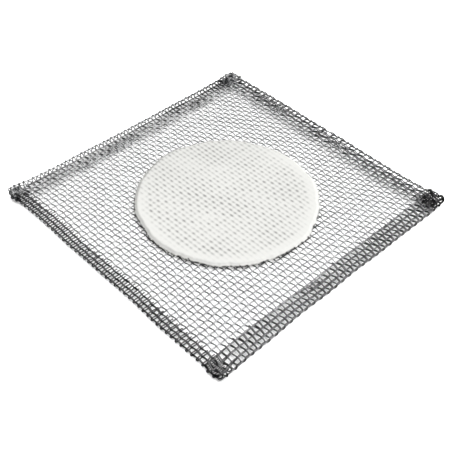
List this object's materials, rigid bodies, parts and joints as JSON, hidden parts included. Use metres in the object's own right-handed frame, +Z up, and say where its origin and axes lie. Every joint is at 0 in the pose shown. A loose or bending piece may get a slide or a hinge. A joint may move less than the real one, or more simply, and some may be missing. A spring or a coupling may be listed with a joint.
{
  "type": "wire gauze with ceramic centre",
  "caption": "Square of woven steel wire cloth with edges turned over and a round off-white ceramic centre, laid on a tripod or ring to spread a flame under glassware.",
  "frame": {"origin": "under the middle of the ceramic disc, on the plane that its underside rests on", "axes": "+Z up, out of the face that the edges are turned over onto; X along the weft wires; Y along the warp wires"},
  "size_m": [0.125, 0.125, 0.0052],
  "materials": {
    "zinc_coated_wire": "zinc-coated steel wire, neutral grey with a soft shine and darker where the zinc has dulled",
    "refractory_ceramic": "matt off-white refractory, unglazed, with the weave showing through its thin face as faint grey dashes"
  },
  "bodies": {
    "root": {"wire_cloth": "zinc_coated_wire", "ceramic_centre": "refractory_ceramic"}
  },
  "joints": []
}
